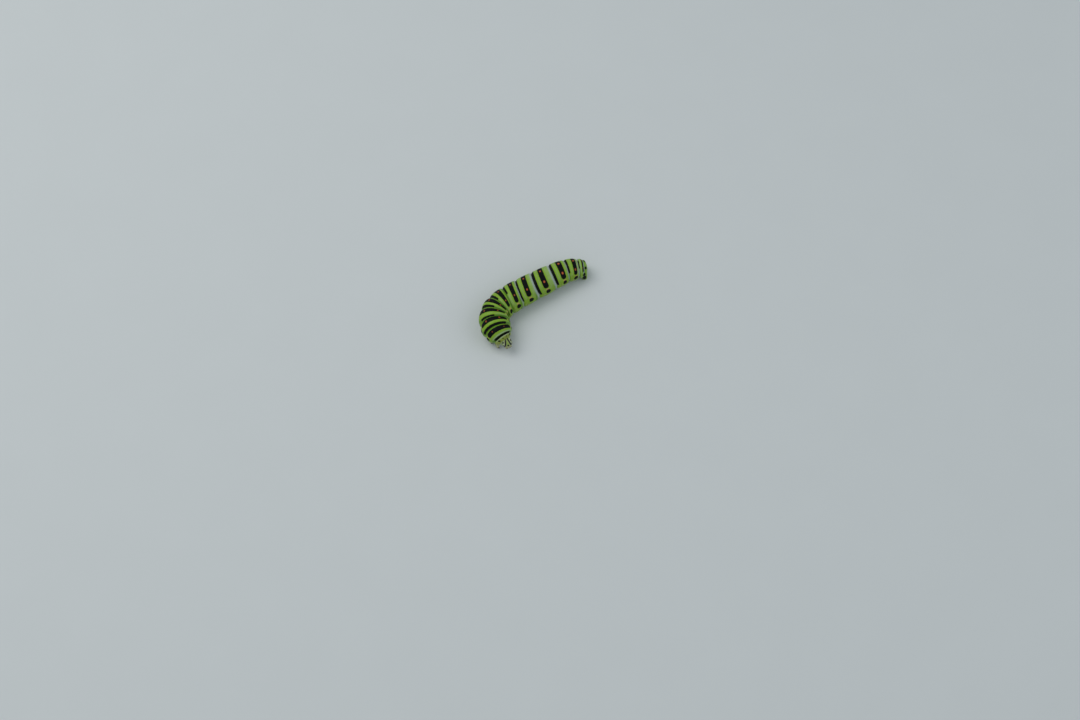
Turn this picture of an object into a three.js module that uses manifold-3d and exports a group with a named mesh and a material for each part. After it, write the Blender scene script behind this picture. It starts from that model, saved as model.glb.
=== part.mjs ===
// Swallowtail larva, last instar, life size, in millimetres, +Z up, feet on the floor at z = 0.
// The rear body lies along X with the tail at +X. The front body swings round to face -Y.
// The origin is on the floor under the middle of the bounding box.
import * as THREE from "three";
import { mergeVertices } from "three/addons/utils/BufferGeometryUtils.js";
import Module from "manifold-3d";

const wasm = await Module();
wasm.setup();

// Driving dimensions
const gap = 0.3; // kept between neighbouring pieces
const around = 28; // points round a body ring
const stationsPerSegment = 7; // rings along a body segment
const topShare = 0.96; // height of the back over the centre line, in half widths
const bellyShare = 0.82; // depth of the belly under the centre line, in half widths
const bellyFullness = 0.82; // under 1 makes the lower sides fuller
const foldReach = 0.42; // length over which a fold pulls the skin in
const neckFold = 0.5; // depth of the fold at the collar behind the head

// From the neck to the tail. heading is the way the larva crawls, in degrees from +X, at mid segment.
// skew is how far the rings of skin turn against that line, because the inner side of the bend bunches forward.
// axis is the height of the centre line over the floor, fold the depth of the fold behind the segment.
const segments = [
  { name: "prothorax", length: 1.15, heading: 280, skew: 2, half: 2.6, axis: 3.5, fold: 0.24 },
  { name: "mesothorax", length: 2.6, heading: 275, skew: 6, half: 3.72, axis: 3.9, fold: 0.3 },
  { name: "metathorax", length: 2.4, heading: 260, skew: 1, half: 4.17, axis: 4.18, fold: 0.32 },
  { name: "abdomen_1", length: 2.5, heading: 237, skew: -3, half: 4.18, axis: 4.17, fold: 0.32 },
  { name: "abdomen_2", length: 2.25, heading: 213.5, skew: 1, half: 4.12, axis: 4.06, fold: 0.3 },
  { name: "abdomen_3", length: 3, heading: 196.5, skew: 9, half: 4.06, axis: 3.91, fold: 0.28 },
  { name: "abdomen_4", length: 3.75, heading: 186, skew: 14, half: 4.06, axis: 3.81, fold: 0.26 },
  { name: "abdomen_5", length: 5, heading: 182, skew: 14, half: 3.95, axis: 3.77, fold: 0.24 },
  { name: "abdomen_6", length: 5.9, heading: 181, skew: 10, half: 3.76, axis: 3.66, fold: 0.24 },
  { name: "abdomen_7", length: 4.75, heading: 179, skew: 6, half: 3.44, axis: 3.56, fold: 0.24 },
  { name: "abdomen_8", length: 3.5, heading: 167, skew: 1, half: 3.05, axis: 3.41, fold: 0.22 },
  { name: "abdomen_9", length: 1.4, heading: 160, skew: 0, half: 2.61, axis: 3.25, fold: 0.16 },
  { name: "abdomen_10", length: 1.25, heading: 160, skew: 0, half: 2.31, axis: 3.15, fold: 0 },
];

// Places along the centre line, counted from the neck
let reach = 0;
for (const segment of segments) {
  segment.front = reach;
  segment.middle = reach + segment.length / 2;
  reach += segment.length;
  segment.back = reach;
}
const bodyLength = reach;

// A value of the table at any place along the body, on a smooth line through the middles of the segments
function along(key, s) {
  const last = segments.length - 1;
  if (s <= segments[0].middle) return segments[0][key] + slope(key, 0) * (s - segments[0].middle);
  if (s >= segments[last].middle) return segments[last][key] + slope(key, last) * (s - segments[last].middle);
  const i = segments.findIndex((segment) => segment.middle > s) - 1;
  const span = segments[i + 1].middle - segments[i].middle;
  const t = (s - segments[i].middle) / span;
  const start = segments[i][key];
  const end = segments[i + 1][key];
  const out = slope(key, i) * span;
  const into = slope(key, i + 1) * span;
  const t2 = t * t;
  const t3 = t2 * t;
  return (2 * t3 - 3 * t2 + 1) * start + (t3 - 2 * t2 + t) * out + (3 * t2 - 2 * t3) * end + (t3 - t2) * into;
}

function slope(key, i) {
  const before = segments[Math.max(0, i - 1)];
  const after = segments[Math.min(segments.length - 1, i + 1)];
  return (after[key] - before[key]) / (after.middle - before.middle);
}

// Centre line on the floor plan, stepped backwards from the neck against the heading
const planSteps = 800;
const plan = [new THREE.Vector2(0, 0)];
for (let i = 0; i < planSteps; i++) {
  const heading = THREE.MathUtils.degToRad(along("heading", ((i + 0.5) / planSteps) * bodyLength));
  const step = new THREE.Vector2(Math.cos(heading), Math.sin(heading)).multiplyScalar(bodyLength / planSteps);
  plan.push(plan[i].clone().sub(step));
}

function centre(s) {
  const place = THREE.MathUtils.clamp(s / bodyLength, 0, 1) * planSteps;
  const i = Math.min(planSteps - 1, Math.floor(place));
  const flat = plan[i].clone().lerp(plan[i + 1], place - i);
  return new THREE.Vector3(flat.x, flat.y, along("axis", s));
}

// forward points to the head, left and up span the ring
function frameAt(s) {
  const heading = THREE.MathUtils.degToRad(along("heading", s) - along("skew", s));
  const step = 0.2;
  const climb = (along("axis", s - step) - along("axis", s + step)) / (2 * step);
  const forward = new THREE.Vector3(Math.cos(heading), Math.sin(heading), climb).normalize();
  const left = new THREE.Vector3(-Math.sin(heading), Math.cos(heading), 0);
  const up = new THREE.Vector3().crossVectors(forward, left);
  return { origin: centre(s), forward, left, up };
}

// How far the folds pull the skin in at a place
function foldDepth(s) {
  let depth = neckFold * Math.exp(-((s / foldReach) ** 2));
  for (const segment of segments) {
    const away = (s - segment.back) / foldReach;
    depth += segment.fold * Math.exp(-away * away);
  }
  return depth;
}

// The tail closes as a half ellipse over the last part of the body
const tailLength = 1.2;
const tailStart = bodyLength - tailLength;
function tailShare(s) {
  const t = Math.max(0, (s - tailStart) / tailLength);
  return Math.sqrt(Math.max(0, 1 - t * t));
}

// A point of the skin. angle runs from the back towards the left side, in radians.
function skinPoint(frame, half, angle) {
  const across = Math.sin(angle);
  const rise = Math.cos(angle);
  const height = rise > 0 ? topShare * rise : -bellyShare * Math.pow(-rise, bellyFullness);
  return frame.origin
    .clone()
    .addScaledVector(frame.left, half * across)
    .addScaledVector(frame.up, half * height);
}

function halfAt(s) {
  return Math.max(0, (along("half", s) - foldDepth(s)) * tailShare(s));
}

// Closed geometry through a row of rings, all with the same count of points. An end is a flat or pointed cap.
function loft(rings, startPoint, endPoint) {
  const count = rings[0].length;
  const points = [...rings.flat(), startPoint, endPoint];
  const first = rings.length * count;
  const index = [];
  for (let j = 0; j < count; j++) {
    const k = (j + 1) % count;
    for (let i = 0; i + 1 < rings.length; i++) {
      const a = i * count + j;
      const b = i * count + k;
      index.push(a, b, b + count, a, b + count, a + count);
    }
    const lastRing = (rings.length - 1) * count;
    index.push(first, k, j, first + 1, lastRing + j, lastRing + k);
  }
  const geometry = new THREE.BufferGeometry().setFromPoints(points);
  geometry.setIndex(index);
  return geometry;
}

// Solids: three.js geometry in and out of manifold-3d
function toSolid(geometry) {
  const bare = geometry.clone();
  bare.deleteAttribute("normal");
  bare.deleteAttribute("uv");
  const merged = mergeVertices(bare, 1e-4);
  const solid = new wasm.Manifold(
    new wasm.Mesh({
      numProp: 3,
      vertProperties: new Float32Array(merged.attributes.position.array),
      triVerts: new Uint32Array(merged.index.array),
    }),
  );
  return solid;
}

function largestPart(solid) {
  return solid.decompose().reduce((a, b) => (b.volume() > a.volume() ? b : a));
}

function toGeometry(solid) {
  const mesh = largestPart(solid).getMesh();
  const geometry = new THREE.BufferGeometry();
  geometry.setAttribute("position", new THREE.BufferAttribute(new Float32Array(mesh.vertProperties), 3));
  geometry.setIndex(new THREE.BufferAttribute(new Uint32Array(mesh.triVerts), 1));
  return geometry;
}

// Materials
const skinGreen = new THREE.MeshStandardMaterial({ color: 0x7fae3c, roughness: 0.5, metalness: 0 });
const footGreen = new THREE.MeshStandardMaterial({ color: 0x8fb65a, roughness: 0.55, metalness: 0 });
const headGreen = new THREE.MeshStandardMaterial({ color: 0x9dbf5e, roughness: 0.35, metalness: 0 });
const legHorn = new THREE.MeshStandardMaterial({ color: 0xb9bd74, roughness: 0.4, metalness: 0 });

const larva = new THREE.Group();

function addPiece(name, geometry, material) {
  const mesh = new THREE.Mesh(geometry, material);
  mesh.name = name;
  mesh.geometry.computeVertexNormals();
  larva.add(mesh);
}

// Head: its own frame has x to the larva's right, y out of the face and z from the mouth to the crown
const head = {
  halfWidth: 1.42,
  halfDepth: 1.14,
  halfHeight: 1.52,
  faceTilt: 50, // degrees that the face looks up
  heading: 261, // of the face, in degrees from +X
  reach: 0.97, // from the collar to the middle of the head
  lift: 0.5, // of its middle over the centre line
  notch: 0.2, // depth of the dip between the two lobes of the crown
};
const headRings = 13;
const headAround = 24;
const headFrame = new THREE.Matrix4();
{
  const heading = THREE.MathUtils.degToRad(head.heading);
  const tilt = THREE.MathUtils.degToRad(head.faceTilt);
  const level = new THREE.Vector3(Math.cos(heading), Math.sin(heading), 0);
  const face = level.clone().multiplyScalar(Math.cos(tilt)).setZ(Math.sin(tilt));
  const right = new THREE.Vector3(Math.sin(heading), -Math.cos(heading), 0);
  const crown = new THREE.Vector3().crossVectors(right, face);
  const middle = centre(0).addScaledVector(frameAt(0).forward, head.reach);
  middle.z += head.lift;
  headFrame.makeBasis(right, face, crown).setPosition(middle);
}

// A point of the head's capsule. rise runs from 0 at the mouth to 1 at the crown, turn from the right to the face.
function capsulePoint(rise, turn) {
  const height = -Math.cos(Math.PI * rise);
  const girth = Math.pow(Math.sin(Math.PI * rise), 0.8);
  const jaw = 1 - 0.28 * THREE.MathUtils.smoothstep(-height, 0.1, 1);
  const x = head.halfWidth * girth * jaw * Math.cos(turn);
  const y = head.halfDepth * girth * Math.sin(turn);
  const dip = head.notch * Math.exp(-((x / 0.4) ** 2)) * Math.max(0, height) ** 3;
  return new THREE.Vector3(x, y, head.halfHeight * height - dip);
}

function capsuleGeometry() {
  const rings = [];
  for (let i = 1; i < headRings; i++) {
    const ring = [];
    for (let j = 0; j < headAround; j++) ring.push(capsulePoint(i / headRings, (j / headAround) * Math.PI * 2));
    rings.push(ring);
  }
  return loft(rings, capsulePoint(0, 0), capsulePoint(1, 0));
}

// The head swollen by the gap cuts the collar and the feelers
const headCutter = (() => {
  const shares = [head.halfWidth, head.halfDepth, head.halfHeight].map((half) => (half + gap) / half);
  return toSolid(capsuleGeometry().scale(...shares)).transform(headFrame.elements);
})();

// Body segments, each a length of the skin tube between two flat cuts
function ringOf(frame, half) {
  const ring = [];
  for (let j = 0; j < around; j++) ring.push(skinPoint(frame, half, (j / around) * Math.PI * 2));
  return ring;
}

// The cut at a fold keeps the fold's own plane on both of its sides, moved by half the gap
function cutFrame(s, shift) {
  const frame = frameAt(s);
  frame.origin.addScaledVector(frame.forward, shift);
  return frame;
}

const tailRings = [0.2, 0.4, 0.6, 0.77, 0.9, 0.98]; // shares of the last segment

function bodySegment(segment, number) {
  const isTail = number === segments.length - 1;
  const frontShift = number === 0 ? 0 : gap / 2;
  const start = segment.front + frontShift;
  const end = isTail ? bodyLength : segment.back - gap / 2;
  const frontFrame = cutFrame(segment.front, -frontShift);
  const backFrame = isTail ? frameAt(bodyLength) : cutFrame(segment.back, gap / 2);
  const shares = isTail ? tailRings : [];
  for (let i = 1; i < stationsPerSegment && !isTail; i++) {
    // Stations crowd towards the folds, where the skin turns fastest
    const even = i / stationsPerSegment;
    shares.push(even - Math.sin(even * Math.PI * 2) * 0.07);
  }
  const rings = [ringOf(frontFrame, halfAt(start))];
  for (const share of shares) {
    const s = start + (end - start) * share;
    rings.push(ringOf(frameAt(s), halfAt(s)));
  }
  if (!isTail) rings.push(ringOf(backFrame, halfAt(end)));
  return loft(rings, frontFrame.origin, backFrame.origin);
}

segments.forEach((segment, number) => {
  const geometry = bodySegment(segment, number);
  const isCollar = number === 0;
  addPiece(segment.name, isCollar ? toGeometry(toSolid(geometry).subtract(headCutter)) : geometry, skinGreen);
});

// The whole skin tube, swollen by the gap, cuts every limb so that it meets the body face to face
const cutterSteps = 90;
function swollenBody() {
  const collar = cutFrame(0, gap);
  const rings = [ringOf(collar, halfAt(0) + gap)];
  for (let i = 1; i < cutterSteps; i++) {
    const s = (i / cutterSteps) * bodyLength;
    rings.push(ringOf(frameAt(s), halfAt(s) + gap));
  }
  return toSolid(loft(rings, collar.origin, cutFrame(bodyLength, -gap).origin));
}
const bodyCutter = swollenBody();

// Prolegs and claspers: fleshy stumps from the belly to a flat sole
const prolegAround = 16;
const proleg = { root: 1.1, waist: 0.84, ankle: 0.78, sole: 0.88, soleEdge: 0.8 };

function stump({ s, angle, scale, splay, lean }) {
  const frame = frameAt(s);
  const side = Math.sign(angle);
  const start = skinPoint(frame, halfAt(s) * 0.62, angle);
  const foot = skinPoint(frame, halfAt(s), angle);
  foot.addScaledVector(frame.left, side * splay).addScaledVector(frame.forward, lean);
  foot.z = 0;
  // Share of the way down, radius
  const profile = [
    [0, proleg.root],
    [0.4, proleg.root * 0.98],
    [0.62, proleg.waist * 1.08],
    [0.8, proleg.waist],
    [0.89, proleg.ankle],
    [0.95, proleg.sole],
    [1, proleg.soleEdge],
  ];
  const heading = Math.atan2(frame.forward.y, frame.forward.x);
  const rings = profile.map(([share, radius]) => {
    const middle = start.clone().lerp(foot, share);
    const ring = [];
    for (let j = 0; j < prolegAround; j++) {
      const turn = (j / prolegAround) * Math.PI * 2 + heading;
      ring.push(
        new THREE.Vector3(
          middle.x + Math.cos(turn) * radius * scale,
          middle.y + Math.sin(turn) * radius * scale,
          middle.z,
        ),
      );
    }
    return ring.reverse();
  });
  return toGeometry(toSolid(loft(rings, start, foot)).subtract(bodyCutter));
}

const sides = [
  ["left", 1],
  ["right", -1],
];
const prolegSegments = [3, 4, 5, 6];
const prolegAngle = THREE.MathUtils.degToRad(151);
for (const number of prolegSegments) {
  const segment = segments.find((one) => one.name === `abdomen_${number}`);
  for (const [side, sign] of sides) {
    const geometry = stump({ s: segment.middle, angle: sign * prolegAngle, scale: 1, splay: -0.05, lean: 0 });
    addPiece(`proleg_${number}_${side}`, geometry, footGreen);
  }
}

const clasperAngle = THREE.MathUtils.degToRad(138);
for (const [side, sign] of sides) {
  const place = segments[segments.length - 1].front + 0.2;
  const geometry = stump({ s: place, angle: sign * clasperAngle, scale: 0.95, splay: -0.1, lean: -0.25 });
  addPiece(`clasper_${side}`, geometry, footGreen);
}

// True legs: five joints from a broad root to a claw, bent outwards and down to the floor
const legJoints = [
  // share of the way, radius
  [0, 0.56],
  [0.24, 0.56],
  [0.34, 0.46],
  [0.44, 0.48],
  [0.54, 0.46],
  [0.6, 0.37],
  [0.7, 0.39],
  [0.8, 0.35],
  [0.85, 0.27],
  [0.94, 0.24],
  [1, 0.14],
];
const legAround = 10;
const legAngle = THREE.MathUtils.degToRad(149);

function trueLeg(segment, sign) {
  const s = segment.middle;
  const frame = frameAt(s);
  const half = halfAt(s);
  const root = skinPoint(frame, half * 0.66, sign * legAngle);
  const hip = skinPoint(frame, half * 1.02, sign * legAngle);
  const knee = hip.clone().addScaledVector(frame.left, sign * 0.55).addScaledVector(frame.forward, 0.15);
  knee.z = Math.max(0.75, hip.z * 0.62);
  const claw = hip.clone().addScaledVector(frame.left, sign * 0.42).addScaledVector(frame.forward, 0.55);
  claw.z = 0;
  const path = new THREE.CatmullRomCurve3([root, hip, knee, claw]);
  const rings = legJoints.map(([share, radius]) => {
    const middle = path.getPoint(share);
    const tangent = path.getTangent(share);
    const flat = share === 1;
    const down = flat ? new THREE.Vector3(0, 0, -1) : tangent;
    const first = new THREE.Vector3().crossVectors(down, frame.forward).normalize();
    const second = new THREE.Vector3().crossVectors(down, first).normalize();
    const ring = [];
    for (let j = 0; j < legAround; j++) {
      const turn = (j / legAround) * Math.PI * 2;
      const point = middle
        .clone()
        .addScaledVector(first, Math.cos(turn) * radius)
        .addScaledVector(second, Math.sin(turn) * radius);
      ring.push(point);
    }
    return ring;
  });
  return toGeometry(toSolid(loft(rings, root, claw)).subtract(bodyCutter));
}

segments.slice(0, 3).forEach((segment, number) => {
  for (const [side, sign] of sides) {
    addPiece(`leg_${number + 1}_${side}`, trueLeg(segment, sign), legHorn);
  }
});

// A rounded lump of three half sizes at a place in the head's frame
function lump(place, halfSizes, segmentsAround = 12) {
  const geometry = new THREE.SphereGeometry(1, segmentsAround, Math.round(segmentsAround * 0.6));
  geometry.scale(...halfSizes).translate(...place);
  return toSolid(geometry);
}

// Six simple eyes stand in a bent row low on each side of the face
const eyeRadius = 0.13;
const eyes = [
  // rise, turn in degrees from the side towards the face
  [0.43, 22],
  [0.38, 30],
  [0.34, 40],
  [0.3, 30],
  [0.27, 42],
  [0.33, 16],
];

function headGeometry() {
  let solid = toSolid(capsuleGeometry());
  const jawHeight = -head.halfHeight;
  solid = solid.add(lump([0, 0.62, jawHeight * 0.86], [0.47, 0.3, 0.28])); // upper lip
  solid = solid.add(lump([0, 0.1, jawHeight * 0.95], [0.38, 0.36, 0.3])); // lower lip
  for (const side of [1, -1]) {
    solid = solid.add(lump([0.34 * side, 0.46, jawHeight * 0.98], [0.32, 0.3, 0.3])); // jaw
    for (const [rise, degrees] of eyes) {
      const turn = side > 0 ? THREE.MathUtils.degToRad(degrees) : Math.PI - THREE.MathUtils.degToRad(degrees);
      const place = capsulePoint(rise, turn).multiplyScalar(0.985);
      solid = solid.add(lump(place.toArray(), [eyeRadius, eyeRadius, eyeRadius], 8));
    }
  }
  return toGeometry(solid.transform(headFrame.elements));
}
addPiece("head", headGeometry(), headGreen);

// Feelers: short stubs of two joints beside the jaws
const feelerJoints = [
  // share of the way, radius
  [0, 0.27],
  [0.55, 0.26],
  [0.66, 0.2],
  [0.9, 0.18],
  [1, 0.1],
];
const feelerAround = 10;
for (const [side, sign] of sides) {
  const outward = -sign;
  const root = new THREE.Vector3(0.68 * outward, 0.48, -0.92);
  const tip = new THREE.Vector3(0.86 * outward, 1.34, -1.32);
  const aim = tip.clone().sub(root).normalize();
  const first = new THREE.Vector3().crossVectors(aim, new THREE.Vector3(0, 0, 1)).normalize();
  const second = new THREE.Vector3().crossVectors(aim, first);
  const rings = feelerJoints.map(([share, radius]) => {
    const ring = [];
    for (let j = 0; j < feelerAround; j++) {
      const turn = (j / feelerAround) * Math.PI * 2;
      ring.push(
        root
          .clone()
          .lerp(tip, share)
          .addScaledVector(first, Math.cos(turn) * radius)
          .addScaledVector(second, Math.sin(turn) * radius),
      );
    }
    return ring;
  });
  const solid = toSolid(loft(rings, root, tip)).transform(headFrame.elements);
  addPiece(`feeler_${side}`, toGeometry(solid.subtract(headCutter)), headGreen);
}

// The origin goes on the floor under the middle of the whole larva
const bounds = new THREE.Box3().setFromObject(larva, true);
const middle = bounds.getCenter(new THREE.Vector3());
larva.position.set(-middle.x, -middle.y, 0);

export default larva;
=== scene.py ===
import math

import bpy
import numpy as np
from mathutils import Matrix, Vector


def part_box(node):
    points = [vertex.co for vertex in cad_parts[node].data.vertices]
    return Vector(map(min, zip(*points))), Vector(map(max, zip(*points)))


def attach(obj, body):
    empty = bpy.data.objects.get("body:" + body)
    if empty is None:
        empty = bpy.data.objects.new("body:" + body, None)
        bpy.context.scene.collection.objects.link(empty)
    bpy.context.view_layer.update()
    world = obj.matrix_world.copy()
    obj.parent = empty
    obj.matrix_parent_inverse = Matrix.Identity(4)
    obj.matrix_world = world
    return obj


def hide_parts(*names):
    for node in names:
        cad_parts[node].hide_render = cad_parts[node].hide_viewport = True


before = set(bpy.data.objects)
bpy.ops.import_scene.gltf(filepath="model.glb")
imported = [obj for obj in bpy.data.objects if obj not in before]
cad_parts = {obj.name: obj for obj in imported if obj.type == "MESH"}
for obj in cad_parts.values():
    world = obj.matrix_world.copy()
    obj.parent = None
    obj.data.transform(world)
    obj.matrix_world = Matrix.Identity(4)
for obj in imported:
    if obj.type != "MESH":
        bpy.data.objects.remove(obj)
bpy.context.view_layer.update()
mm = 0.001
random = np.random.default_rng(7)
print("stage: frame loaded")


# The line of the body, neck to tail, with the same sizes as the solids, in millimetres and degrees.
# skew turns the rings of skin against the line, bow curves their two sides forward,
# and roll turns the markings about the line, in degrees towards the left side.
bodyTable = {
    "prothorax": dict(length=1.15, heading=280, skew=2, half=2.6, axis=3.5, fold=0.24, bow=0, roll=0),
    "mesothorax": dict(length=2.6, heading=275, skew=6, half=3.72, axis=3.9, fold=0.3, bow=0.35, roll=-5),
    "metathorax": dict(length=2.4, heading=260, skew=1, half=4.17, axis=4.18, fold=0.32, bow=0.4, roll=-8),
    "abdomen_1": dict(length=2.5, heading=237, skew=-3, half=4.18, axis=4.17, fold=0.32, bow=0.15, roll=-13),
    "abdomen_2": dict(length=2.25, heading=213.5, skew=1, half=4.12, axis=4.06, fold=0.3, bow=0, roll=-13),
    "abdomen_3": dict(length=3, heading=196.5, skew=9, half=4.06, axis=3.91, fold=0.28, bow=-0.15, roll=-11),
    "abdomen_4": dict(length=3.75, heading=186, skew=14, half=4.06, axis=3.81, fold=0.26, bow=-0.4, roll=-8),
    "abdomen_5": dict(length=5, heading=182, skew=14, half=3.95, axis=3.77, fold=0.24, bow=-0.5, roll=-3),
    "abdomen_6": dict(length=5.9, heading=181, skew=10, half=3.76, axis=3.66, fold=0.24, bow=-0.5, roll=0),
    "abdomen_7": dict(length=4.75, heading=179, skew=6, half=3.44, axis=3.56, fold=0.24, bow=-0.2, roll=1),
    "abdomen_8": dict(length=3.5, heading=167, skew=1, half=3.05, axis=3.41, fold=0.22, bow=0, roll=4),
    "abdomen_9": dict(length=1.4, heading=160, skew=0, half=2.61, axis=3.25, fold=0.16, bow=0, roll=0),
    "abdomen_10": dict(length=1.25, heading=160, skew=0, half=2.31, axis=3.15, fold=0, bow=0, roll=0),
}
bodyShape = {
    "gap": 0.3,  # between neighbouring solids
    "topShare": 0.96,
    "bellyShare": 0.82,
    "bellyFullness": 0.82,
    "foldReach": 0.42,
    "neckFold": 0.5,
    "tailLength": 1.2,
    "slopeReach": 0.2,  # how far each way the climb of the line is measured
    "bowTurn": 60,  # degrees from the back where a ring has its whole bow
    "bowMost": 1.3,  # of that angle, where the bow ends
}
segmentNames = list(bodyTable)
lengths = np.array([bodyTable[name]["length"] for name in segmentNames])
backs = np.cumsum(lengths)
fronts = backs - lengths
middles = fronts + lengths / 2
bodyLength = backs[-1]


def column(key):
    return np.array([float(bodyTable[name][key]) for name in segmentNames])


def along(key, s):  # a value of the table anywhere along the body
    values = column(key)
    last = len(values) - 1
    before = np.maximum(np.arange(last + 1) - 1, 0)
    after = np.minimum(np.arange(last + 1) + 1, last)
    slopes = (values[after] - values[before]) / (middles[after] - middles[before])
    s = np.asarray(s, float)
    i = np.clip(np.searchsorted(middles, s, side="right") - 1, 0, last - 1)
    span = middles[i + 1] - middles[i]
    t = (s - middles[i]) / span
    smooth = (
        (2 * t**3 - 3 * t**2 + 1) * values[i]
        + (t**3 - 2 * t**2 + t) * slopes[i] * span
        + (3 * t**2 - 2 * t**3) * values[i + 1]
        + (t**3 - t**2) * slopes[i + 1] * span
    )
    smooth = np.where(s <= middles[0], values[0] + slopes[0] * (s - middles[0]), smooth)
    return np.where(s >= middles[last], values[last] + slopes[last] * (s - middles[last]), smooth)


planSteps = 800
planPlaces = np.arange(planSteps + 1) / planSteps * bodyLength
planHeading = np.radians(along("heading", (np.arange(planSteps) + 0.5) / planSteps * bodyLength))
planStep = bodyLength / planSteps
planX = np.concatenate([[0], -np.cumsum(np.cos(planHeading)) * planStep])
planY = np.concatenate([[0], -np.cumsum(np.sin(planHeading)) * planStep])
planOffset = np.zeros(3)


def unit(v):
    return v / np.linalg.norm(v, axis=-1, keepdims=True)


def centreAt(s):
    x, y = (np.interp(s, planPlaces, plan) for plan in (planX, planY))
    return np.stack([x, y, along("axis", s)], -1) + planOffset


def frameAt(s):  # forward to the head, left and up span the ring
    s = np.asarray(s, float)
    heading = np.radians(along("heading", s) - along("skew", s))
    reach = bodyShape["slopeReach"]
    climb = (along("axis", s - reach) - along("axis", s + reach)) / (2 * reach)
    forward = unit(np.stack([np.cos(heading), np.sin(heading), climb], -1))
    left = np.stack([-np.sin(heading), np.cos(heading), np.zeros_like(heading)], -1)
    return forward, left, np.cross(forward, left)


def foldDepth(s):
    fold = bodyShape["neckFold"] * np.exp(-((s / bodyShape["foldReach"]) ** 2))
    for back, depth in zip(backs, column("fold")):
        fold = fold + depth * np.exp(-(((s - back) / bodyShape["foldReach"]) ** 2))
    return fold


def tailShare(s):  # the tail closes as a half ellipse
    t = np.maximum(0, (s - (bodyLength - bodyShape["tailLength"])) / bodyShape["tailLength"])
    return np.sqrt(np.maximum(0, 1 - t * t))


def halfAt(s):
    s = np.asarray(s, float)
    return np.maximum(0, (along("half", s) - foldDepth(s)) * tailShare(s))


def skinPoint(s, turn, half):  # turn runs from the middle of the back towards the left side
    forward, left, up = frameAt(s)
    rise = np.cos(turn)
    belly = -bodyShape["bellyShare"] * np.power(np.maximum(-rise, 0), bodyShape["bellyFullness"])
    height = np.where(rise > 0, bodyShape["topShare"] * rise, belly)
    across = (half * np.sin(turn))[..., None]
    return centreAt(s) + across * left + (half * height)[..., None] * up


def ringPlace(s, turn):  # where along the body the bowed ring through a point crosses the back
    away = np.minimum(np.degrees(np.abs(turn)) / bodyShape["bowTurn"], bodyShape["bowMost"])
    return s + along("bow", s) * away**2


def placeOnFrame():  # the table's own line is moved to where the solid of the middle segment stands
    low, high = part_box("abdomen_5")
    i = segmentNames.index("abdomen_5")
    s = np.linspace(fronts[i] + bodyShape["gap"] / 2, backs[i] - bodyShape["gap"] / 2, 60)
    turns = np.linspace(0, 2 * np.pi, 200)
    sGrid, turnGrid = np.meshgrid(s, turns, indexing="ij")
    ring = skinPoint(sGrid, turnGrid, halfAt(sGrid)).reshape(-1, 3)
    middle = (ring.min(0) + ring.max(0)) / 2
    solid = np.array((low + high) / 2) / mm
    return np.array([solid[0] - middle[0], solid[1] - middle[1], 0])


planOffset = placeOnFrame()


def bump(x, reach):
    return np.exp(-((x / reach) ** 2))


def smoothStep(low, high, x):
    t = np.clip((x - low) / (high - low), 0, 1)
    return t * t * (3 - 2 * t)


def capsuleAway(x, y, halfWide, halfLong):  # millimetres inside a bar with round ends
    return halfWide - np.hypot(x, np.maximum(np.abs(y) - (halfLong - halfWide), 0))


def ovalAway(x, y, halfX, halfY):
    return (1 - np.hypot(x / halfX, y / halfY)) * min(halfX, halfY)


# Meshes

def makeMesh(name, points, faces, smooth=True):
    mesh = bpy.data.meshes.new(name)
    mesh.from_pydata(np.asarray(points, float) * mm, [], faces)
    mesh.validate()
    mesh.update()
    if smooth:
        mesh.shade_smooth()
    piece = bpy.data.objects.new(name, mesh)
    bpy.context.scene.collection.objects.link(piece)
    return piece


def addValues(piece, name, values):
    layer = piece.data.attributes.new(name, "FLOAT", "POINT")
    layer.data.foreach_set("value", np.asarray(values, np.float32).ravel())


def gridFaces(rows, columns):  # quads between rings of points
    i, j = np.meshgrid(np.arange(rows - 1), np.arange(columns), indexing="ij")
    a = (i * columns + j).ravel()
    b = (i * columns + (j + 1) % columns).ravel()
    return np.stack([a, b, b + columns, a + columns], 1).tolist()


def fanFaces(first, columns, tip, flip=False):  # triangles from a ring of points to a tip
    sides = [(first + j, first + (j + 1) % columns) for j in range(columns)]
    return [[tip, a, b] if flip else [tip, b, a] for a, b in sides]


def spread(low, high, count, density, steps=4000):  # places packed closer where the density is higher
    fine = np.linspace(low, high, steps)
    weight = np.concatenate([[0], np.cumsum((density(fine)[1:] + density(fine)[:-1]) / 2)])
    return np.interp(np.linspace(0, weight[-1], count), weight, fine)


# Markings of each segment: a thin line at its front, a wide band with two orange spots, and a patch low on
# each side. line and band are half widths and membrane is a width, in millimetres, and place is a share of
# the segment. Ends are degrees from the middle of the back, to the right and then the left for a line, which
# ends early on the left side where the bend folds it away.
def segmentMarks(line, lineEnd, lineFrom, band, place, bandEnd, spot, side, patch, membrane, dusk=0.0):
    return dict(
        line=line, lineEnd=lineEnd, lineFrom=lineFrom, band=band, place=place, bandEnd=bandEnd,
        spot=spot, side=side, patch=patch, membrane=membrane, dusk=dusk,
    )


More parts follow.
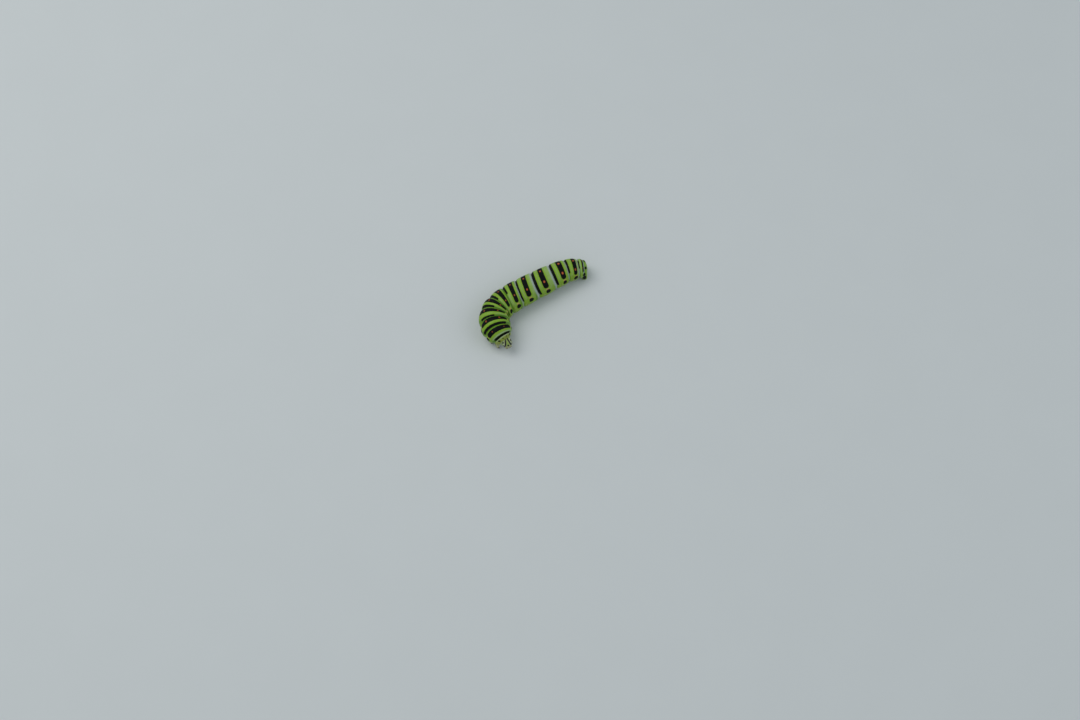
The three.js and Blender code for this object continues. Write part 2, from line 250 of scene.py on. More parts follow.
markings = {
    "prothorax": segmentMarks(0, (0, 0), 0, 0, 0.5, 0, 0, 0, 0, 0),
    "mesothorax": segmentMarks(0.29, (62, 58), -0.22, 0.58, 0.66, 62, 0.45, 0.5, 0.75, 0, 0.8),
    "metathorax": segmentMarks(0.27, (72, 50), 0.08, 0.52, 0.72, 60, 0.7, 0.7, 0.9, 0, 0.6),
    "abdomen_1": segmentMarks(0.17, (50, 14), 0.03, 0.48, 0.66, 58, 0.65, 0.9, 0.9, 0, 0.7),
    "abdomen_2": segmentMarks(0.21, (60, 10), 0.02, 0.5, 0.64, 58, 0.65, 1.0, 0.95, 0, 0.7),
    "abdomen_3": segmentMarks(0.22, (64, 4), 0.05, 0.6, 0.58, 56, 0.7, 1.0, 1.0, 0, 0.6),
    "abdomen_4": segmentMarks(0.24, (70, 8), 0.1, 0.66, 0.56, 59, 0.7, 1.0, 1.0, 0.2, 0.5),
    "abdomen_5": segmentMarks(0.25, (80, 72), 0, 0.72, 0.49, 59, 0.8, 1.0, 1.0, 0.6, 0.25),
    "abdomen_6": segmentMarks(0.4, (82, 80), 0, 0.8, 0.48, 59, 0.9, 1.0, 1.05, 0.65),
    "abdomen_7": segmentMarks(0.38, (82, 78), 0, 0.8, 0.6, 58, 0.95, 1.1, 1.0, 0.2),
    "abdomen_8": segmentMarks(0.27, (60, 40), 0, 0.56, 0.63, 57, 0.9, 0.9, 1.0, 0.25, 0.7),
    "abdomen_9": segmentMarks(0.18, (32, 30), -0.18, 0.23, 0.76, 56, 0.45, 0, 0, 0.22, 0.8),
    "abdomen_10": segmentMarks(0, (0, 0), 0, 0, 0.5, 0, 0, 0, 0, 0),
}
markShapes = {  # degrees from the middle of the back, and half sizes of a mark of size 1
    "patch": dict(layer="black", turn=80, along=0.72, across=0.8),
    "spot": dict(layer="orange", turn=27, along=0.34, across=0.42),
    "side": dict(layer="yellow", turn=65, along=0.5, across=0.27),
}
plateMarks = {  # dark marks of the collar and the tail plate, with their places behind the segment's front
    "prothorax": [
        dict(place=0.42, turn=46, along=0.26, across=0.38),
        dict(place=0.4, turn=14, along=0.12, across=0.16),
    ],
    "abdomen_10": [
        dict(place=0.5, turn=30, along=0.36, across=0.46),
        dict(place=0.02, turn=84, along=0.45, across=0.66),
    ],
}
# Thin pale rings before and behind the first black line, and towards the tail: millimetres from the neck,
# with the angles between which they fade down each side
paleRings = [
    dict(places=[0.78, 1.66], reach=0.09, share=0.75, fade=(75, 55)),
    dict(places=[36.12, 37.28, 38.22], reach=0.1, share=0.5, fade=(70, 40)),
]
membraneShape = {"soft": 0.25, "full": 0.55, "past": 0.12, "fade": (112, 88)}
collarFade = (0.95, 0.6)  # shares of the first segment between which its olive ends
outside = -9.0  # stands for a place far from a marking
leastHalf = 0.5  # of the body's half width, for measures round it


def paintBody(s, turn, half):  # millimetres inside each marking, and shares of the other colours
    turn = turn - np.radians(along("roll", s))
    away = np.degrees(np.abs(turn))
    marks = {name: np.full(s.shape, outside) for name in ("black", "orange", "yellow")}
    marks.update({name: np.zeros(s.shape) for name in ("membrane", "dusk")})
    s = ringPlace(s, turn)
    perDegree = np.radians(1) * half

    def add(layer, values):
        marks[layer] = np.maximum(marks[layer], values)

    def addOval(layer, x, shape, size=1, most=math.inf):
        y = (away - shape["turn"]) * perDegree
        add(layer, ovalAway(x, y, min(shape["along"] * size, most), shape["across"] * size))

    for name, front, length, back in zip(segmentNames, fronts, lengths, backs):
        mark = markings[name]
        x = s - front
        fromMiddle = x - mark["place"] * length
        if mark["line"]:
            rightEnd, leftEnd = mark["lineEnd"]
            place = mark["lineFrom"] + mark["line"]
            y = turn * half - (leftEnd - rightEnd) / 2 * perDegree
            add("black", capsuleAway(x - place, y, mark["line"], (leftEnd + rightEnd) / 2 * perDegree))
        if mark["band"]:
            arc = np.abs(turn) * half
            add("black", capsuleAway(fromMiddle, arc, mark["band"], mark["bandEnd"] * perDegree))
        for key, shape in markShapes.items():
            if mark[key]:
                most = mark["band"] if key == "spot" else math.inf
                addOval(shape["layer"], fromMiddle, shape, mark[key], most)
        for shape in plateMarks.get(name, []):
            addOval("black", x - shape["place"], shape)
        if mark["membrane"]:
            low, high = mark["membrane"] + membraneShape["soft"], mark["membrane"] * membraneShape["full"]
            here = smoothStep(low, high, back - s) * smoothStep(-membraneShape["past"], 0.0, back - s)
            add("membrane", here * smoothStep(*membraneShape["fade"], away))
        add("dusk", mark["dusk"] * (x >= 0) * (s < back))
    for rings in paleRings:
        for place in rings["places"]:
            pale = rings["share"] * bump(s - place, rings["reach"])
            add("membrane", pale * smoothStep(*rings["fade"], away))
    marks["collar"] = smoothStep(lengths[0] * collarFade[0], lengths[0] * collarFade[1], s)
    return marks


# The skin: one tube with the stump legs drawn out of it
skinShape = {
    "rows": 800,
    "columns": 340,
    "tipGap": 0.004,  # from the last ring to the tip of the tail
    "foldRows": (1.0, 0.45),  # how much closer the rows lie by a fold, and within what distance
    "stumpRows": (0.7, 1.3),
    "stumpColumns": (1.1, 24),  # the same round the body, in degrees
    "crease": (0.15, 0.11),  # depth and reach
    "ringlets": [0.27, 0.77],  # shares of a segment
    "ringlet": (0.05, 0.12),  # depth and reach
    "ringletLength": 2,  # shorter segments have none
    "swell": 0.1,  # of each segment between its folds
    "swellPower": 0.6,
    "sideGroove": (0.1, 103, 6),  # depth, then turn and reach in degrees
    "sideRoll": (0.12, 117, 9),
    "backLine": (0.02, 0, 4),
    "unevenness": 0.01,
    "thin": 1.2,  # the relief fades where the body is thinner
    "foldPaintedShade": 0.3,  # how far the painted shade of a fold reaches, a darker green standing in for the shade in the crease
    # how far the same painted shade reaches where the collar turns in to the neck
    "neckPaintedShade": 0.25,
    "easing": 14,  # rounds of smoothing where the stumps leave the body
    "neckRings": [  # millimetres ahead of the collar, and share of its half width
        (0.05, 0.975), (0.14, 0.93), (0.24, 0.87), (0.33, 0.8), (0.4, 0.73),
        (0.44, 0.66), (0.44, 0.6), (0.36, 0.56), (0.1, 0.54),
    ],
}
stumpShape = {
    "depth": 1.6,  # under the root, as far as the skin is drawn out
    "soleShare": 0.4,  # of the reach becomes the sole
    "pull": (1, 0.7),  # shares of the reach between which the skin comes away from the body
    "easeOutside": (1.3, 1.05),
    "easeInside": (0.6, 0.78),
    "soleHollow": (0.07, 1.6),  # height and steepness
    "spot": dict(down=0.36, stretch=1.5, along=0.42, across=0.62),
    "pale": (0.1, 0.9),  # shares of the way down between which it turns pale
    "profile": [  # share of the way down, and radius
        (0, 1.24), (0.2, 1.08), (0.4, 0.99), (0.52, 0.97), (0.6, 0.9), (0.7, 0.83),
        (0.78, 0.83), (0.84, 0.78), (0.88, 0.79), (0.94, 0.87), (0.98, 0.87), (1, 0.81),
    ],
}
prolegs = {"turn": 151, "reach": 1.4, "splay": -0.05, "lean": 0, "scale": 1}
claspers = {"turn": 138, "reach": 1.35, "splay": -0.1, "lean": -0.25, "scale": 0.95}
clasperPlace = fronts[-1] + 0.2


def segmentMiddle(name):
    return middles[segmentNames.index(name)]


stumpRoots = [(prolegs, segmentMiddle(f"abdomen_{number}")) for number in (3, 4, 5, 6)]
stumpRoots.append((claspers, clasperPlace))
stumpPlaces = [
    dict(shape, s=s, side=side, turn=side * math.radians(shape["turn"]))
    for shape, s in stumpRoots
    for side in (1, -1)
]


def skinRelief(s, turn):
    away = np.degrees(np.abs(turn))
    relief = np.zeros(s.shape)
    within = np.zeros(s.shape)
    s = ringPlace(s, turn)

    def ridge(x, height, reach):
        return height * bump(x, reach)

    for front, length, back in zip(fronts, lengths, backs):
        if back < bodyLength:
            relief -= ridge(s - back, *skinShape["crease"])
        if length > skinShape["ringletLength"]:
            wander = 0.05 * np.sin(turn * 3 + front) + 0.03 * np.sin(turn * 7 + front * 2)
            for share in skinShape["ringlets"]:
                relief -= ridge(s - front - share * length + wander, *skinShape["ringlet"])
        place = (s - front) / length
        swell = np.sin(np.pi * np.clip(place, 0, 1)) ** skinShape["swellPower"]
        within = np.where((place >= 0) & (place < 1), swell, within)
    groove, roll, backLine = (
        ridge(away - skinShape[key][1], skinShape[key][0], skinShape[key][2])
        for key in ("sideGroove", "sideRoll", "backLine")
    )
    relief += (roll - groove + skinShape["swell"]) * within
    relief -= backLine
    wave = np.sin(s * 2.1 + turn * 2) * np.sin(turn * 5 - s * 0.7)
    wave += 0.6 * np.sin(s * 4.7 - turn * 9) * np.sin(turn * 11 + s * 1.3)
    return relief + skinShape["unevenness"] * wave


def drawOutStump(points, spec, stumpBlack, footness, easing):
    shape = stumpShape
    s0, turn0, side = np.array(spec["s"]), np.array(spec["turn"]), spec["side"]
    root = skinPoint(s0, turn0, halfAt(s0))
    forward, left, up = frameAt(s0)
    outward = unit(math.sin(spec["turn"]) * left + math.cos(spec["turn"]) * up)
    sideways = left * side
    tangent = unit(sideways - np.dot(sideways, outward) * outward)
    level = unit(np.array([forward[0], forward[1], 0]))
    foot = root + left * side * spec["splay"] + forward * spec["lean"]
    foot[2] = 0
    d = points - root
    a, b, deep = d @ forward, d @ tangent, d @ outward
    share = np.hypot(a, b) / spec["reach"]
    shallow = deep > -shape["depth"]
    edge = (share >= 1) & shallow
    easing[edge] = np.maximum(easing[edge], smoothStep(*shape["easeOutside"], share[edge]))
    near = (share < 1) & shallow
    share, a, b = share[near], a[near], b[near]
    way = np.arctan2(b, a)
    soleShare = shape["soleShare"]
    down = np.clip((1 - share) / (1 - soleShare), 0, 1)
    keys, radii = zip(*shape["profile"])
    radius = np.interp(down, keys, radii) * spec["scale"] * np.minimum(1, share / soleShare)
    middle = root + (foot - root) * down[:, None]
    ring = np.cos(way)[:, None] * level + np.sin(way)[:, None] * sideways
    drawn = middle + ring * radius[:, None]
    inside = np.clip(1 - share / soleShare, 0, 1)
    height, steepness = shape["soleHollow"]
    drawn[:, 2] += height * np.sin(np.pi * np.minimum(inside * steepness, 1)) * (inside > 0)
    pull = smoothStep(*shape["pull"], share)[:, None]
    points[near] = points[near] * (1 - pull) + drawn * pull
    easing[near] = np.maximum(easing[near], smoothStep(*shape["easeInside"], share))
    # The outer face of the stump carries a black spot
    spot = shape["spot"]
    turnAway = np.arccos(np.clip(np.sin(way), -1, 1))
    black = ovalAway((down - spot["down"]) * spot["stretch"], turnAway, spot["along"], spot["across"])
    stumpBlack[near] = np.maximum(stumpBlack[near], black)
    footness[near] = np.maximum(footness[near], smoothStep(*shape["pale"], down))


def addBakeMap(skin, rowCount, count):  # the skin laid out flat, neck to tail across and belly to belly up
    points = np.arange(len(skin.data.vertices))
    u = np.minimum(points // count, rowCount - 1) / (rowCount - 1)
    v = (points % count) / count
    corners = np.zeros(len(skin.data.loops), int)
    skin.data.loops.foreach_get("vertex_index", corners)
    faceSizes = [len(face.vertices) for face in skin.data.polygons]
    faceOf = np.repeat(np.arange(len(faceSizes)), faceSizes)
    cornerU, cornerV = u[corners], v[corners]
    cornerU[corners == rowCount * count + 1] = 0
    highest = np.zeros(len(skin.data.polygons))
    np.maximum.at(highest, faceOf, cornerV)
    cornerV = np.where((highest[faceOf] > 0.5) & (cornerV < 0.25), cornerV + 1, cornerV)
    layer = skin.data.uv_layers.new(name="OFBake")
    margin = 0.01
    flat = np.stack([cornerU, cornerV], 1) * (1 - 2 * margin) + margin
    layer.data.foreach_set("uv", flat.astype(np.float32).ravel())


neckValues = {  # what the attributes say on the neck, which has no markings; fold 1 puts it wholly in painted shade
    "black": outside, "orange": outside, "yellow": outside, "membrane": 0.4, "dusk": 0, "collar": 1,
    "fold": 1, "foot": 0, "turnAway": 0.5, "place": 0, "arc": 0,
}


def rowDensity(s):
    density = np.ones_like(s)
    stumpRows = sorted({spec["s"] for spec in stumpPlaces})
    for places, (extra, reach) in ((backs[:-1], skinShape["foldRows"]), (stumpRows, skinShape["stumpRows"])):
        for place in places:
            density += extra * bump(s - place, reach)
    return density


def columnDensity(turn):
    extra, reach = skinShape["stumpColumns"]
    return 1 + extra * bump(np.degrees(np.abs(turn)) - prolegs["turn"], reach)


def buildSkin():
    rows = spread(0, bodyLength - skinShape["tipGap"], skinShape["rows"], rowDensity)
    columns = spread(-math.pi, math.pi, skinShape["columns"] + 1, columnDensity)[:-1]
    s, turn = np.meshgrid(rows, columns, indexing="ij")
    half = np.maximum(0, (along("half", s) - foldDepth(ringPlace(s, turn))) * tailShare(s))
    points = skinPoint(s, turn, half + skinRelief(s, turn) * np.clip(half / skinShape["thin"], 0, 1))
    marks = paintBody(s, turn, np.maximum(along("half", s), leastHalf))
    stumpBlack = np.full(s.shape, outside)
    footness = np.zeros(s.shape)
    easing = np.zeros(s.shape)
    for spec in stumpPlaces:
        drawOutStump(points, spec, stumpBlack, footness, easing)
    for _ in range(skinShape["easing"]):
        around = (np.roll(points, 1, 1) + np.roll(points, -1, 1)) / 2
        lengthways = points.copy()
        lengthways[1:-1] = (points[2:] + points[:-2]) / 2
        points += (around * 0.5 + lengthways * 0.5 - points) * easing[..., None]

    # The collar turns in to a neck that runs into the back of the head
    collarHalf = float(halfAt(np.array(0.0)))
    neck = []
    for ahead, share in reversed(skinShape["neckRings"]):
        ring = skinPoint(np.zeros_like(columns), columns, np.full_like(columns, collarHalf * share))
        neck.append(ring + frameAt(np.array(0.0))[0] * ahead)
    tailTip = points[-1].mean(0, keepdims=True)
    neckTip = neck[0].mean(0, keepdims=True)
    tube = np.concatenate([np.array(neck), points]).reshape(-1, 3)
    rowCount, count, tip = len(neck) + len(rows), len(columns), len(tube)
    faces = gridFaces(rowCount, count)
    faces += fanFaces((rowCount - 1) * count, count, tip)
    faces += fanFaces(0, count, tip + 1, flip=True)
    skin = makeMesh("skin", np.concatenate([tube, tailTip, neckTip]), [face[::-1] for face in faces])

    marks["black"] = np.maximum(marks["black"], stumpBlack)
    # painted shade: the fold mask is highest at the creases between segments and at the neck, where shade
    # falls
    shades = [bump(s - back, skinShape["foldPaintedShade"]) for back in backs[:-1]]
    marks["fold"] = np.maximum.reduce(shades + [bump(s, skinShape["neckPaintedShade"])])
    marks["foot"] = footness
    marks["turnAway"] = np.degrees(np.abs(turn)) / 180
    marks["place"] = s
    marks["arc"] = np.abs(turn) * np.maximum(half, leastHalf)
    for name, neckValue in neckValues.items():
        pad = np.full(len(neck) * count, neckValue)
        values = marks[name]
        addValues(skin, name, np.concatenate([pad, values.ravel(), [values[-1].mean(), neckValue]]))
    addBakeMap(skin, rowCount, count)
    return skin


# Materials

class Value:
    def __init__(self, maker, socket):
        self.maker, self.socket = maker, socket

    def math(self, operation, a, b):
        return self.maker.node("ShaderNodeMath", {"operation": operation}, {0: a, 1: b})

    def __add__(self, other):
        return self.math("ADD", self, other)

    def __radd__(self, other):
        return self.math("ADD", other, self)

    def __sub__(self, other):
        return self.math("SUBTRACT", self, other)

    def __rsub__(self, other):
        return self.math("SUBTRACT", other, self)

    def __mul__(self, other):
        return self.math("MULTIPLY", self, other)

    def __rmul__(self, other):
        return self.math("MULTIPLY", other, self)


class Finish:
    def __init__(self, name):
        self.material = bpy.data.materials.new(name)
        self.material.use_nodes = True
        self.tree = self.material.node_tree
        self.shader = self.tree.nodes["Principled BSDF"]

    def put(self, socket, value):
        if isinstance(value, Value):
            self.tree.links.new(value.socket, socket)
        elif isinstance(value, tuple) and len(value) == 3 and socket.type == "RGBA":
            socket.default_value = (*value, 1)
        else:
            socket.default_value = value

    def node(self, kind, settings=None, inputs=None, output=0):
        made = self.tree.nodes.new(kind)
        for key, value in (settings or {}).items():
            setattr(made, key, value)
        for key, value in (inputs or {}).items():
            self.put(made.inputs[key], value)
        return Value(self, made.outputs[output])

    def values(self, name):
        return self.node("ShaderNodeAttribute", {"attribute_name": name}, output="Fac")

    def step(self, value, low, high):
        inputs = {"Value": value, "From Min": low, "From Max": high}
        return self.node("ShaderNodeMapRange", {"interpolation_type": "SMOOTHSTEP"}, inputs)

    def mix(self, share, a, b, blend="MIX"):
        settings = {"data_type": "RGBA", "blend_type": blend}
        return self.node("ShaderNodeMix", settings, {0: share, 6: a, 7: b}, output=2)

    def place(self):
        return self.node("ShaderNodeTexCoord", output="Object")

    def noise(self, scale, detail=2.0, vector=None, roughness=0.5):
        inputs = {"Vector": vector or self.place(), "Scale": scale, "Detail": detail, "Roughness": roughness}
        return self.node("ShaderNodeTexNoise", inputs=inputs)

    def cells(self, scale):
        inputs = {"Vector": self.place(), "Scale": scale}
        return self.node("ShaderNodeTexVoronoi", {"feature": "SMOOTH_F1"}, inputs, output="Distance")

    def set(self, **inputs):
        for key, value in inputs.items():
            self.put(self.shader.inputs[key.replace("_", " ")], value)

    def relief(self, height, distance, strength=0.5):
        inputs = {"Strength": strength, "Distance": distance, "Height": height}
        self.put(self.shader.inputs["Normal"], self.node("ShaderNodeBump", inputs=inputs))


skinColours = {
    "back": (0.25, 0.41, 0.09),
    "cloud": (0.35, 0.47, 0.19),
    "flank": (0.22, 0.37, 0.01),
    "belly": (0.36, 0.46, 0.25),
    # painted shade: a darker green for the creases between segments and for the neck, standing in for the
    # shade there
    "paintedShadeGreen": (0.07, 0.21, 0.012),
    "besideBlack": (0.22, 0.4, 0.012),
    "membrane": (0.42, 0.48, 0.48),
    "collar": (0.3, 0.34, 0.06),
    "black": (0.002, 0.003, 0.003),
    "orange": (0.42, 0.085, 0.03),
    "orangeHeart": (0.56, 0.15, 0.05),
    "duskyOrange": (0.22, 0.07, 0.02),
    "yellow": (0.5, 0.34, 0.11),
    "foot": (0.42, 0.48, 0.26),
    "mottle": (0.5, 0.6, 0.3),
}
skinTexture = {  # scales of the noise, per millimetre for the wrinkles, and depths in metres
    "edge": 2600,
    "fineEdge": 9000,
    "cloud": 700,
    "mottle": 6500,
    "grain": 26000,
    "pores": 11000,
    "wrinklesAlong": 9,
    "wrinklesRound": 1.1,
    "depth": 0.00006,
    "softness": 0.0004,
}


def skinFinish():
    m = Finish("larvaSkin")
    c, t = skinColours, skinTexture
    wobble = (m.noise(t["edge"], 3) - 0.5) * 0.16 + (m.noise(t["fineEdge"], 2) - 0.5) * 0.06
    black = m.values("black") + wobble
    blackMask = m.step(black, -0.035, 0.035)
    orange = m.values("orange") + wobble * 0.7
    yellow = m.values("yellow") + wobble
    turn = m.values("turnAway")
    green = m.mix(m.step(turn, 0.2, 0.44), c["back"], c["flank"])
    green = m.mix(m.step(turn, 0.55, 0.75), green, c["belly"])
    green = m.mix(m.step(m.noise(t["cloud"], 3), 0.35, 0.7) * 0.4, green, c["cloud"])
    green = m.mix(m.step(black, -0.75, -0.15) * 0.85, green, c["besideBlack"])
    # the fold mask paints shade, a darker green, into the creases between segments and over the neck
    for name, colour, share in (("fold", "paintedShadeGreen", 0.75), ("collar", "collar", 0.8),
                                ("membrane", "membrane", 0.9), ("foot", "foot", 0.6)):
        green = m.mix(m.values(name) * share, green, c[colour])
    green = m.mix(m.step(m.noise(t["mottle"], 3), 0.3, 0.75) * 0.25, green, c["mottle"], "SOFT_LIGHT")
    green = m.mix(m.step(yellow, -0.06, 0.06) * 0.9, green, c["yellow"])
    colour = m.mix(blackMask, green, c["black"])
    spot = m.mix(m.step(orange, 0.04, 0.3), c["orange"], c["orangeHeart"])
    spot = m.mix(m.values("dusk"), spot, c["duskyOrange"])
    colour = m.mix(m.step(orange, -0.02, 0.07), colour, spot)
    grain = m.noise(t["grain"], 2)
    rows = {0: m.values("place") * t["wrinklesAlong"], 1: m.values("arc") * t["wrinklesRound"], 2: 0.0}
    wrinkles = m.noise(1.0, 3, m.node("ShaderNodeCombineXYZ", inputs=rows), 0.6)
    m.relief(wrinkles * 0.9 + grain * 0.35 + m.cells(t["pores"]) * 0.4, t["depth"], 0.55)
    m.set(Base_Color=colour, Roughness=0.45 + blackMask * 0.1 + (grain - 0.5) * 0.12)
    m.set(Coat_Weight=(1 - blackMask) * 0.3, Coat_Roughness=0.34, Specular_IOR_Level=0.1)
    m.set(Subsurface_Weight=0.1, Subsurface_Radius=(0.5, 1.0, 0.25), Subsurface_Scale=t["softness"])
    return m.material


print("stage: building the skin")
skin = buildSkin()
skin.data.materials.append(skinFinish())
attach(skin, "root")
fleshNodes = segmentNames + [f"proleg_{n}_{side}" for n in (3, 4, 5, 6) for side in ("left", "right")]
fleshNodes += ["clasper_left", "clasper_right"]
for node in fleshNodes:
    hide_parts(node)
print("stage: skin done,", len(skin.data.vertices), "points")


# The head. Its frame has x to the larva's right, y out of the face and z from the mouth to the crown.
headShape = {
    "halfWidth": 1.42,
    "halfDepth": 1.14,
    "halfHeight": 1.52,
    "faceTilt": 50,
    "heading": 261,
    "reach": 0.97,
    "lift": 0.5,
    "girthPower": 0.8,
    "jawTaper": 0.28,
    "notch": (0.21, 0.4),  # depth and reach of the dent in the crown
    "middleGroove": (0.07, 0.04),
    "middleFade": (0.48, 0.66),  # heights between which the groove begins
    "sutureGroove": (0.06, 0.05),
    "bulge": dict(height=0.05, x=0.74, reachX=0.44, z=0.48, reachZ=0.7),
    "unevenness": 0.012,
    "swellWay": (1.0, 1.45, 0.85),  # turns a point's place into the way out of the head there
    "faceFrom": -0.2,  # y from which the grooves and the pale cheeks show
    "dotsFrom": -0.5,
    "rows": 170,
    "columns": 240,
}


def headAxes():
    heading, tilt = math.radians(headShape["heading"]), math.radians(headShape["faceTilt"])
    face = np.array([math.cos(heading) * math.cos(tilt), math.sin(heading) * math.cos(tilt), math.sin(tilt)])
    right = np.array([math.sin(heading), -math.cos(heading), 0])
    crown = np.cross(right, face)
    middle = centreAt(np.array(0.0)) + frameAt(np.array(0.0))[0] * headShape["reach"]
    middle[2] += headShape["lift"]
    return np.array([right, face, crown]), middle


headTurn, headMiddle = headAxes()


def toHead(points):
    return np.asarray(points, float) @ headTurn + headMiddle


def capsulePoint(rise, turn):
    height = -np.cos(np.pi * rise)
    girth = np.power(np.sin(np.pi * rise), headShape["girthPower"])
    jaw = 1 - headShape["jawTaper"] * smoothStep(0.1, 1, -height)
    x = headShape["halfWidth"] * girth * jaw * np.cos(turn)
    y = headShape["halfDepth"] * girth * np.sin(turn)
    depth, reach = headShape["notch"]
    dip = depth * bump(x, reach) * np.maximum(0, height) ** 3
    return np.stack([x, y, headShape["halfHeight"] * height - dip], -1)


def pathAway(x, z, path):  # distance to a line through points
    away = []
    for (x0, z0), (x1, z1) in zip(path, path[1:]):
        dx, dz = x1 - x0, z1 - z0
        t = np.clip(((x - x0) * dx + (z - z0) * dz) / (dx * dx + dz * dz), 0, 1)
        away.append(np.hypot(x - x0 - t * dx, z - z0 - t * dz))
    return np.min(away, axis=0)


headMarks = {  # on both sides alike, as x and z
    "stripe": [(0.28, 1.28), (0.4, 0.75), (0.59, 0.1), (0.84, -0.68), (0.91, -1.15)],
    "stripeHalf": 0.2,
    "dots": [  # with their half sizes
        (0, -0.64, 0.25, 0.3),
        (1.16, 0.5, 0.24, 0.32),
        (1.14, -0.62, 0.26, 0.24),
    ],
    "suture": [(0.02, 0.74), (0.09, 0.62), (0.3, 0.0), (0.48, -0.7)],
    "mouthFrom": (-0.6, -1.2),
    "cheek": (1.0, 0.17),  # x and reach of the pale stripe down the cheek
    "cheekTop": (1.3, 0.7),
}


def buildHead():
    shape, marks = headShape, headMarks
    rise = np.linspace(0, 1, shape["rows"] + 2)[1:-1]
    turn = np.linspace(0, 2 * np.pi, shape["columns"] + 1)[:-1]
    p = capsulePoint(*np.meshgrid(rise, turn, indexing="ij"))
    x, y, z = p[..., 0], p[..., 1], p[..., 2]
    face = y > shape["faceFrom"]
    side = np.abs(x)
    depth, reach = shape["middleGroove"]
    groove = depth * (bump(side, reach) * smoothStep(*shape["middleFade"], z) * face)
    sutureDepth, sutureReach = shape["sutureGroove"]
    groove = np.maximum(groove, sutureDepth * bump(pathAway(side, z, marks["suture"]), sutureReach) * face)
    bulge = shape["bulge"]
    swell = bulge["height"] * bump(side - bulge["x"], bulge["reachX"])
    swell = swell * bump(z - bulge["z"], bulge["reachZ"])
    wave = shape["unevenness"] * np.sin(x * 7 + z * 5) * np.sin(z * 6 - y * 4)
    outward = unit(p * np.array(shape["swellWay"]))
    p = p + outward * (swell + wave - groove)[..., None]
    black = marks["stripeHalf"] - pathAway(side, z, marks["stripe"]) + np.where(y > 0, 0, outside)
    for dotX, dotZ, halfX, halfZ in marks["dots"]:
        dot = ovalAway(side - dotX, z - dotZ, halfX, halfZ)
        black = np.maximum(black, dot + np.where(y > shape["dotsFrom"], 0, outside))
    rows, count = shape["rows"], shape["columns"]
    points = np.concatenate([p.reshape(-1, 3), capsulePoint(np.array([0.0, 1.0]), np.array([0.0, 0.0]))])
    faces = gridFaces(rows, count)
    faces += fanFaces(0, count, rows * count)
    faces += fanFaces((rows - 1) * count, count, rows * count + 1, flip=True)
    head = makeMesh("headCapsule", toHead(points), faces)
    cheekX, cheekReach = marks["cheek"]
    cheek = bump(side - cheekX, cheekReach) * smoothStep(*marks["cheekTop"], z) * face
    for name, values, atTips in (
        ("black", black, [outside, outside]),
        ("mouth", smoothStep(*marks["mouthFrom"], z), [1, 0]),
        ("cheek", cheek, [0, 0]),
        ("groove", groove / depth, [0, 0]),
    ):
        addValues(head, name, np.concatenate([values.ravel(), atTips]))
    return head


def loftPoints(path, radii, columns):  # rings round a path, each at right angles to it
    path = np.asarray(path, float)
    ways = unit(np.gradient(path, axis=0))
    first = np.cross(ways, np.array([0.0, 0, 1]))
    weak = np.linalg.norm(first, axis=1) < 1e-3
    first[weak] = np.cross(ways[weak], np.array([1.0, 0, 0]))
    first = unit(first)
    second = np.cross(ways, first)
    turn = np.linspace(0, 2 * np.pi, columns + 1)[:-1]
    across, up = (wave(turn)[None, :, None] * np.asarray(radii)[:, None, None] for wave in (np.cos, np.sin))
    return (path[:, None] + first[:, None] * across + second[:, None] * up).reshape(-1, 3)


def loftFaces(rows, columns):
    last = (rows - 1) * columns
    return gridFaces(rows, columns) + [list(range(columns))[::-1], list(range(last, last + columns))]


def roundLump(middle, halfSizes, turns=(0, 0), rows=14, columns=20):  # turned about x and then y
    rise = np.linspace(0, np.pi, rows)[1:-1]
    turn = np.linspace(0, 2 * np.pi, columns + 1)[:-1]
    rise, turn = np.meshgrid(rise, turn, indexing="ij")
    p = np.stack([np.sin(rise) * np.cos(turn), np.sin(rise) * np.sin(turn), np.cos(rise)], -1)
    p = np.concatenate([p.reshape(-1, 3), [[0, 0, 1], [0, 0, -1]]]) * np.array(halfSizes)
    ax, ay = (math.radians(a) for a in turns)
    about = np.array([[1, 0, 0], [0, math.cos(ax), -math.sin(ax)], [0, math.sin(ax), math.cos(ax)]])
    about = np.array([[math.cos(ay), 0, math.sin(ay)], [0, 1, 0], [-math.sin(ay), 0, math.cos(ay)]]) @ about
    p = p @ about.T + np.array(middle)
    faces = [face[::-1] for face in gridFaces(rows - 2, columns)]
    last = (rows - 2) * columns
    faces += fanFaces(0, columns, last, flip=True)
    faces += fanFaces(last - columns, columns, last + 1)
    return p, faces


def joinParts(name, parts):  # parts are (points, faces) pairs
    points, faces, start = [], [], 0
    for partPoints, partFaces in parts:
        points.append(partPoints)
        faces += [[a + start for a in face] for face in partFaces]
        start += len(partPoints)
    return makeMesh(name, np.concatenate(points), faces)


headColours = {
    "green": (0.25, 0.37, 0.05),
    "pale": (0.48, 0.53, 0.24),
    "cheek": (0.52, 0.55, 0.44),
    "mouth": (0.38, 0.37, 0.25),
    "black": (0.003, 0.003, 0.003),
    "groove": (0.3, 0.36, 0.16),
    "horn": (0.15, 0.11, 0.055),
    "paleHorn": (0.2, 0.15, 0.08),
    "feeler": (0.4, 0.44, 0.24),
    "feelerJoint": (0.4, 0.38, 0.2),
    "feelerTip": (0.26, 0.22, 0.1),
    "eye": (0.004, 0.003, 0.003),
    "eyeShine": (0.02, 0.01, 0.006),
}


